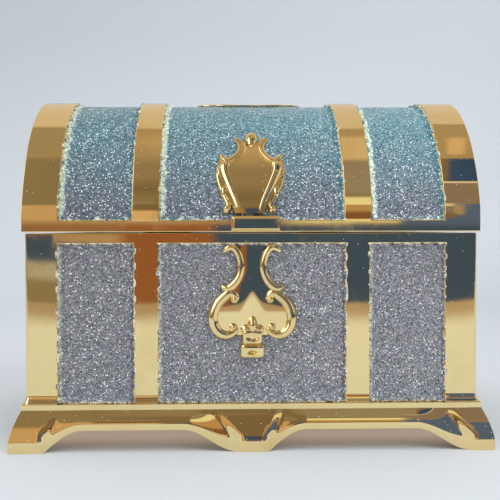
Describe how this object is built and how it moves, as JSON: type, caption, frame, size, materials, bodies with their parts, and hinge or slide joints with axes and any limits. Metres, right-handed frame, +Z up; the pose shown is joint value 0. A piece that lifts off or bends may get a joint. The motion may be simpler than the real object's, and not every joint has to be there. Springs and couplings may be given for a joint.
{
  "type": "jewelry box",
  "caption": "Treasure-chest jewelry box in gilt cast metal with glitter inlays, scrolled ornaments and a velvet lining. The barrel lid is hinged along the back.",
  "frame": {"origin": "centre of the box's footprint, on the surface it stands on", "axes": "+X to the right along the box's width, as seen from the front; +Y from the front to the hinged back; +Z up"},
  "size_m": [0.12, 0.086, 0.0912],
  "materials": {
    "gold_plate": "mirror-polished pale gold plate on zinc castings",
    "lilac_glitter": "fine iridescent glitter in clear resin, lilac-grey, bluish at a slant",
    "teal_glitter": "fine iridescent glitter in clear resin, teal where the lid turns up, lilac-grey low down",
    "velvet_lining": "midnight-blue velvet flock on card",
    "steel": "plain steel pins and screws"
  },
  "bodies": {
    "chest": {"body_shell": "gold_plate", "plinth": "gold_plate", "plinth_screw_1": "steel", "plinth_screw_2": "steel", "plinth_screw_3": "steel", "plinth_screw_4": "steel", "front_inlay_left": "lilac_glitter", "front_inlay_centre": "lilac_glitter", "front_inlay_right": "lilac_glitter", "back_inlay_left": "lilac_glitter", "back_inlay_centre": "lilac_glitter", "back_inlay_right": "lilac_glitter", "side_inlay_left": "lilac_glitter", "side_inlay_right": "lilac_glitter", "front_escutcheon": "gold_plate", "hinge_pin_left": "steel", "hinge_pin_right": "steel", "floor_lining": "velvet_lining", "wall_lining_front": "velvet_lining", "wall_lining_back": "velvet_lining", "wall_lining_left": "velvet_lining", "wall_lining_right": "velvet_lining"},
    "lid": {"lid_shell": "gold_plate", "lid_inlay_left": "teal_glitter", "lid_inlay_centre": "teal_glitter", "lid_inlay_right": "teal_glitter", "lid_end_inlay_left": "teal_glitter", "lid_end_inlay_right": "teal_glitter", "lid_crest": "gold_plate", "top_medallion": "gold_plate", "thumb_block": "gold_plate", "lid_lining_vault": "velvet_lining", "lid_lining_left": "velvet_lining", "lid_lining_right": "velvet_lining"}
  },
  "joints": [
    {"name": "lid_hinge", "type": "hinge", "parent": "chest", "child": "lid", "pos_m": [0, 0.0406, 0.05405], "axis": [-1, 0, 0], "range_deg": [0, 100]}
  ]
}
